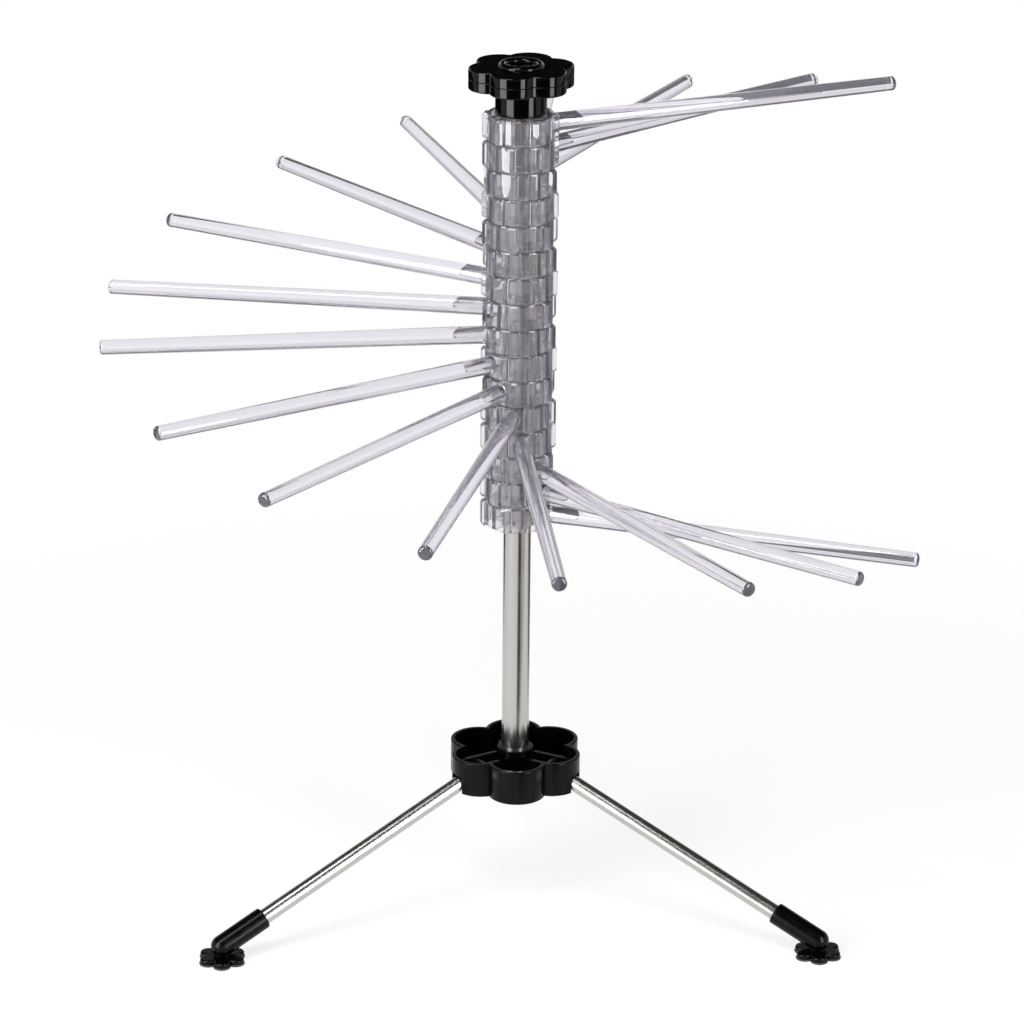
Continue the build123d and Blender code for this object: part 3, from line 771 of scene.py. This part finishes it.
class RACK_OT_post(bpy.types.Operator):
    """Model the chromed post"""
    bl_idname = "rack.post"
    bl_label = "Post"

    def execute(self, context):
        s = context.scene.rack_legs
        outline = tube_points(low("post_tube"), high("post_tube"), s.post, s.post_wall, s.post_edge)
        post = turned_piece("chromed_post", outline, 128)
        dress(post, "post_tube", "chromed_steel")
        coat("post_top_plug", "black_satin_plastic")
        coat("post_bottom_plug", "black_satin_plastic")
        coat("stack_pin", "bright_steel")
        return {"FINISHED"}


def leg_turns():
    """Directions of the three legs round the post."""
    return [atan2(leg_line(i)[0].y, leg_line(i)[0].x) for i in range(1, LEG_COUNT + 1)]


class RACK_OT_hub(bpy.types.Operator):
    """Model the lobed hub with its socket, forks and slots"""
    bl_idname = "rack.hub"
    bl_label = "Hub"

    def execute(self, context):
        s = context.scene.rack_hub
        base, rim = low("hub"), high("hub")
        segments = 288
        hub = lobed_solid("hub_tray", rounded_levels(base, rim, s.edge, s.edge, 3), s.lobe_ring, s.lobe,
                          segments)
        floor = base + s.floor
        inside = [(floor, s.wall + s.hollow_edge), (floor + s.hollow_edge, s.wall), (rim + MM, s.wall)]
        combine(hub, lobed_solid("hollow_tool", inside, s.lobe_ring, s.lobe, segments), "DIFFERENCE")
        edge = s.edge / 2
        socket = [(s.boss_bore - MM, base + MM), (s.boss_bore - MM, rim)]
        socket += arc(s.boss - edge, rim - edge, edge, 90, 0, 3) + [(s.boss, base + MM)]
        combine(hub, turned_piece("boss_tool", socket, 96), "UNION")
        socket_floor = base + s.boss_floor
        combine(hub, disc_piece("core_floor_tool", s.boss - MM, base + MM, socket_floor), "UNION")
        inside_wall = s.lobe_ring + s.lobe - 1.1 * s.wall
        outside = s.lobe_ring + s.lobe + MM
        near, far = s.slot_half_width, s.slot_half_width + s.cheek
        for low_y, high_y in ((-far, -near), (near, far)):
            for angle in [2 * pi * leg / LEG_COUNT for leg in range(LEG_COUNT)]:
                cheek = box_piece("cheek_tool", (s.boss - MM, low_y, base + MM),
                                  (inside_wall, high_y, rim - s.cheek_drop))
                combine(hub, place(cheek, Matrix.Rotation(angle, 4, "Z")), "UNION")
        place(hub, Matrix.Rotation(leg_turns()[0], 4, "Z"))
        combine(hub, disc_piece("bore_tool", s.boss_bore, socket_floor, rim + MM), "DIFFERENCE")
        combine(hub, disc_piece("well_tool", s.well, base - MM, base + s.well_depth, 72), "DIFFERENCE")
        # A leg's slots go a little past the floor and the wall, so that their rounded feet come out too
        for turn in leg_turns():
            spin = Matrix.Rotation(turn, 4, "Z")
            floor_slot = box_piece("floor_slot_tool", (s.lobe_ring - s.slot_run, -near, base - MM),
                                   (outside, near, floor + 0.6 * MM))
            combine(hub, place(floor_slot, spin), "DIFFERENCE")
            wall_slot = box_piece("wall_slot_tool", (inside_wall - 0.4 * MM, -near, base - MM),
                                  (outside, near, base + s.slot_rise))
            combine(hub, place(wall_slot, spin), "DIFFERENCE")
        close_slits(hub.data)
        dress(hub, "hub", "black_satin_plastic")
        coat("hub_screw", "bright_steel")
        return {"FINISHED"}


def along(start, end):
    """Frame whose Z axis runs from one point to another, with its origin at the first."""
    direction = (end - start).normalized()
    return Matrix.Translation(start) @ direction.to_track_quat("Z", "Y").to_matrix().to_4x4()


class RACK_OT_legs(bpy.types.Operator):
    """Model the leg tubes and their boots"""
    bl_idname = "rack.legs"
    bl_label = "Legs"

    def execute(self, context):
        s = context.scene.rack_legs
        for index in range(1, LEG_COUNT + 1):
            pivot, ball = leg_line(index)
            run = (ball - pivot).length
            line = along(pivot, ball)
            tube_end, mouth = run - s.boot_solid, run - s.boot_length
            wall = tube_points(s.tube_start, tube_end, s.tube, s.tube_wall, s.tube_edge)
            tube = turned_piece(f"chromed_leg_{index}", wall, 96)
            dress(place(tube, line), f"leg_tube_{index}", "chromed_steel")
            bore = s.tube + s.boot_play
            outline = [(0, tube_end), (bore, tube_end), (bore, mouth)]
            outline += arc(s.boot - s.boot_edge, mouth + s.boot_edge, s.boot_edge, -90, 0, 5)
            outline += arc(0, run, s.boot, 0, 90, 16)
            boot = place(turned_piece(f"moulded_boot_{index}", outline, 96), line)
            depth = s.boot + MM
            cone = turned_piece("mouth_tool", [(0, ball.z), (depth, ball.z - depth), (0, ball.z - depth)], 72)
            place(cone, Matrix.Translation((ball.x, ball.y, 0)))
            combine(boot, cone, "DIFFERENCE")
            dress(boot, f"leg_boot_{index}", "black_satin_plastic")
            coat(f"leg_knuckle_{index}", "black_satin_plastic")
            coat(f"pivot_pin_{index}", "bright_steel")
        return {"FINISHED"}


class RACK_OT_feet(bpy.types.Operator):
    """Model the lobed feet with their soles"""
    bl_idname = "rack.feet"
    bl_label = "Feet"

    def execute(self, context):
        s = context.scene.rack_legs
        for index in range(1, LEG_COUNT + 1):
            ball = leg_line(index)[1]
            turn = Matrix.Rotation(atan2(ball.y, ball.x), 4, "Z")
            spot = Matrix.Translation((ball.x, ball.y, 0)) @ turn
            bottom, sole_top = low(f"foot_sole_{index}"), high(f"foot_sole_{index}")
            levels = rounded_levels(bottom, sole_top, s.sole_edge, s.sole_edge / 2, 2)
            sole = lobed_solid(f"rubber_sole_{index}", levels, s.pad_lobe_ring, s.pad_lobe, 144)
            dress(place(sole, spot), f"foot_sole_{index}", "grey_rubber")
            levels = rounded_levels(sole_top, sole_top + s.pad_height, 0.1 * MM, s.pad_edge, 5)
            pad = lobed_solid(f"lobed_foot_{index}", levels, s.pad_lobe_ring, s.pad_lobe - s.pad_inset, 144)
            dish = turned_piece("dish_tool", arc(0, ball.z, s.pad_dish, -90, 0, 24) + [(0, ball.z)], 72)
            combine(pad, dish, "DIFFERENCE")
            root = sole_top + 0.5 * MM
            stud = [(0, root), (s.stud_base, root)] + arc(0, ball.z, s.ball, -65, 90, 16)
            combine(pad, turned_piece("stud_tool", stud, 48), "UNION")
            dress(place(pad, spot), f"foot_pad_{index}", "black_satin_plastic")
        return {"FINISHED"}


# Studio

CAMERA_TURN = -92.453
CAMERA_DISTANCE = 2.1649
CAMERA_HEIGHT = 1.0129
CAMERA_PITCH = 20.411
CAMERA_YAW = 0.071
CAMERA_ROLL = 0.497
CAMERA_FOCAL_PIXELS = 4564.4
PHOTO_PIXELS = 1024
SENSOR = 36.0
# Heights over the horizon, in degrees, at which the backdrop ends and the dark studio starts
BACKDROP_TOP = 21
STUDIO_START = 27
WHITE_LIGHT = (1, 1, 1, 1)
BLACK_PAPER = "#101010"


def add_camera():
    """Camera at the photograph's place and angle, for a square picture."""
    turn, pitch, roll = radians(CAMERA_TURN), radians(CAMERA_PITCH), radians(CAMERA_ROLL)
    head = turn + pi + radians(CAMERA_YAW)
    forward = Vector((cos(head) * cos(pitch), sin(head) * cos(pitch), -sin(pitch)))
    right = forward.cross(Vector((0, 0, 1))).normalized()
    up = right.cross(forward)
    leaning_right = right * cos(roll) + up * sin(roll)
    leaning_up = up * cos(roll) - right * sin(roll)
    data = bpy.data.cameras.new("camera")
    data.sensor_width = SENSOR
    data.lens = CAMERA_FOCAL_PIXELS / PHOTO_PIXELS * SENSOR
    data.clip_end = 50
    camera = bpy.data.objects.new("camera", data)
    axes = Matrix((leaning_right, leaning_up, -forward)).transposed().to_4x4()
    spot = (CAMERA_DISTANCE * cos(turn), CAMERA_DISTANCE * sin(turn), CAMERA_HEIGHT)
    camera.matrix_world = Matrix.Translation(spot) @ axes
    bpy.context.scene.collection.objects.link(camera)
    bpy.context.scene.camera = camera


def add_softbox(name, spot, target, width, height, watts):
    """Soft lamp that faces a point. Seen through something clear it is a white cloth, which doesn't
    glare."""
    data = bpy.data.lights.new(name, "AREA")
    data.shape = "ELLIPSE" if width == height else "RECTANGLE"
    data.size, data.size_y, data.energy = width, height, watts
    lamp = bpy.data.objects.new(name, data)
    aim = (Vector(target) - Vector(spot)).to_track_quat("-Z", "Y").to_matrix().to_4x4()
    lamp.matrix_world = Matrix.Translation(spot) @ aim
    lamp.visible_camera = False
    lamp.visible_transmission = False
    bpy.context.scene.collection.objects.link(lamp)
    bm = bmesh.new()
    corners = [(-width, -height), (width, -height), (width, height), (-width, height)]
    bm.faces.new([bm.verts.new((x / 2, y / 2, 0)) for x, y in corners])
    cloth = place(new_piece(f"{name}_cloth", bm), lamp.matrix_world)
    cloth.data.materials.append(cloth_material())
    cloth.visible_camera = cloth.visible_glossy = cloth.visible_diffuse = cloth.visible_shadow = False


def cloth_material():
    """White diffuser cloth, lit from behind."""
    material, tree, _, output = new_material("diffuser_cloth")
    glow = add_node(tree, "ShaderNodeEmission", {"Color": WHITE_LIGHT, "Strength": 2.0})
    tree.links.new(glow.outputs["Emission"], output.inputs["Surface"])
    return material


def background_rays(tree):
    """1 for rays that show the background: straight, mirrored or through something clear."""
    path = add_node(tree, "ShaderNodeLightPath")
    mirrored = add_node(tree, "ShaderNodeMath", {0: path.outputs["Is Camera Ray"],
                                                 1: path.outputs["Is Glossy Ray"]}, operation="MAXIMUM")
    through = add_node(tree, "ShaderNodeMath", {0: mirrored.outputs[0],
                                                1: path.outputs["Is Transmission Ray"]}, operation="MAXIMUM")
    return through.outputs[0]


def matt_surface(tree, spot, colour, grain, least, most):
    """Matt paper or paint, its roughness varied by a grain of so many millimetres."""
    noise = add_node(tree, "ShaderNodeTexNoise", {"Vector": spot, "Scale": per_metre(grain), "Detail": 2.0})
    rough = add_node(tree, "ShaderNodeMapRange", {
        "Value": noise.outputs["Fac"], "To Min": least, "To Max": most})
    matt = add_node(tree, "ShaderNodeBsdfPrincipled", {
        "Base Color": colour, "Specular IOR Level": 0.0, "Roughness": rough.outputs["Result"]})
    return matt.outputs["BSDF"]


def floor_material():
    """Matt white floor. Part of its brightness is its own, under the rack least, so that the rack's
    shadow stays and the floor runs out into white."""
    material, tree, spot, output = new_material("pale_floor")
    matt = matt_surface(tree, spot, bpy.context.scene.rack_colours.floor, 40, 0.8, 0.9)
    glow = add_node(tree, "ShaderNodeEmission", {"Color": WHITE_LIGHT, "Strength": 1.0})
    away = add_node(tree, "ShaderNodeVectorMath", {0: spot}, operation="LENGTH")
    own = add_node(tree, "ShaderNodeMapRange", {
        "Value": away.outputs["Value"], "From Min": 0.15, "From Max": 0.6, "To Min": 0.75, "To Max": 1.0})
    share = add_node(tree, "ShaderNodeMath", {0: background_rays(tree), 1: own.outputs["Result"]},
                     operation="MULTIPLY")
    mix = add_node(tree, "ShaderNodeMixShader", {
        0: share.outputs[0], 1: matt, 2: glow.outputs["Emission"]})
    tree.links.new(mix.outputs["Shader"], output.inputs["Surface"])
    return material


def dark_studio_world():
    """Low pale backdrop all round with a dark studio over it. The camera itself sees plain white."""
    world = bpy.data.worlds.new("studio")
    world.use_nodes = True
    tree = world.node_tree
    tree.nodes.clear()
    way = add_node(tree, "ShaderNodeTexCoord")
    parts = add_node(tree, "ShaderNodeSeparateXYZ", {"Vector": way.outputs["Generated"]})
    fade = add_node(tree, "ShaderNodeMapRange", {
        "Value": parts.outputs["Z"], "From Min": sin(radians(BACKDROP_TOP)),
        "From Max": sin(radians(STUDIO_START)), "To Min": 0.8, "To Max": 0.04})
    path = add_node(tree, "ShaderNodeLightPath")
    level = add_node(tree, "ShaderNodeMath", {0: fade.outputs["Result"], 1: path.outputs["Is Camera Ray"]},
                     operation="MAXIMUM")
    sky = add_node(tree, "ShaderNodeBackground", {"Color": WHITE_LIGHT, "Strength": level.outputs[0]})
    add_node(tree, "ShaderNodeOutputWorld", {"Surface": sky.outputs["Background"]})
    bpy.context.scene.world = world


def card_material(name, code):
    """Matt card of one tone."""
    material, tree, spot, output = new_material(name)
    tree.links.new(matt_surface(tree, spot, linear(code), 2, 0.85, 0.95), output.inputs["Surface"])
    return material


def add_card(name, corners, code):
    """Card between corner points, which gives the gloss something dark or grey to mirror."""
    bm = bmesh.new()
    bm.faces.new([bm.verts.new(corner) for corner in corners])
    card = new_piece(name, bm)
    card.data.materials.append(card_material(name, code))
    card.visible_camera = card.visible_shadow = card.visible_diffuse = False


def floor_fan(first, last, near, far, level):
    """Corners of a card on the floor in front of the rack, its sides at two turns to the right of the
    camera, its near edge straight and below the picture."""
    corners = []
    for turn, ahead in ((first, near), (first, far), (last, far), (last, near)):
        heading, reach = radians(CAMERA_TURN + turn), ahead / cos(radians(turn))
        corners.append((reach * cos(heading), reach * sin(heading), level))
    return corners


class RACK_OT_stage(bpy.types.Operator):
    """Lay the floor and set the lamps, the world and the camera"""
    bl_idname = "rack.stage"
    bl_label = "Stage"

    def execute(self, context):
        bm = bmesh.new()
        bmesh.ops.create_circle(bm, cap_ends=True, radius=4.0, segments=96)
        floor = place(new_piece("floor", bm), Matrix.Translation((0, 0, CAD_BOX[0][2])))
        floor.data.materials.append(floor_material())
        context.scene.view_settings.view_transform = "Standard"
        dark_studio_world()
        add_card("dark_floor_card", floor_fan(10, 36, 0.19, 1.2, MM), BLACK_PAPER)
        add_card("grey_floor_card", floor_fan(36, 70, 0.19, 1.0, MM), "#9A9890")
        add_card("left_rear_card", [(-1.6, 0.25, MM), (-0.25, 0.25, MM), (-0.36, 2.0, MM), (-1.6, 2.0, MM)],
                 "#15111F")
        add_card("right_rear_card", [(0.2, 0.14, MM), (1.6, 0.14, MM), (1.6, 2.0, MM), (0.24, 2.0, MM)],
                 "#737179")
        add_card("knob_flag", [(-0.09, 0.4, 0.5), (0.09, 0.4, 0.5), (0.09, 0.4, 0.85), (-0.09, 0.4, 0.85)],
                 BLACK_PAPER)
        add_card("dark_front_card", [(-2.0, -3.2, MM), (2.0, -3.2, MM), (2.0, -1.25, MM), (-2.0, -1.25, MM)],
                 BLACK_PAPER)
        add_softbox("softbox_left", (-0.95, -0.75, 0.72), (0, 0, 0.72), 0.7, 1.4, 30)
        add_softbox("softbox_right", (0.95, -1.0, 0.72), (0, 0, 0.72), 0.5, 1.4, 22)
        add_softbox("softbox_top", (-0.5, -0.6, 2.0), (0, 0, 0.2), 0.8, 0.8, 14)
        add_camera()
        return {"FINISHED"}


class RACK_PT_panel(bpy.types.Panel):
    """Sizes, colours and pieces of the rack"""
    bl_idname = "RACK_PT_panel"
    bl_label = "Pasta Drying Rack"
    bl_space_type = "VIEW_3D"
    bl_region_type = "UI"
    bl_category = "Pasta Rack"

    def draw(self, context):
        for operator in OPERATORS:
            self.layout.operator(operator.bl_idname)
        for name, group in GROUPS.items():
            column = self.layout.box().column()
            column.label(text=group.__doc__)
            for key in group.__annotations__:
                column.prop(getattr(context.scene, name), key)


OPERATORS = [RACK_OT_stage, RACK_OT_arms, RACK_OT_knob, RACK_OT_post, RACK_OT_hub, RACK_OT_legs, RACK_OT_feet]


def register():
    for group in GROUPS.values():
        bpy.utils.register_class(group)
    for name, group in GROUPS.items():
        setattr(bpy.types.Scene, name, bpy.props.PointerProperty(type=group))
    for operator in OPERATORS:
        bpy.utils.register_class(operator)
    bpy.utils.register_class(RACK_PT_panel)


def unregister():
    bpy.utils.unregister_class(RACK_PT_panel)
    for operator in reversed(OPERATORS):
        bpy.utils.unregister_class(operator)
    for name, group in GROUPS.items():
        delattr(bpy.types.Scene, name)
        bpy.utils.unregister_class(group)


def main():
    register()
    bpy.ops.rack.stage()
    bpy.ops.rack.arms()
    bpy.ops.rack.knob()
    bpy.ops.rack.post()
    bpy.ops.rack.hub()
    bpy.ops.rack.legs()
    bpy.ops.rack.feet()


if __name__ == "__main__":
    main()
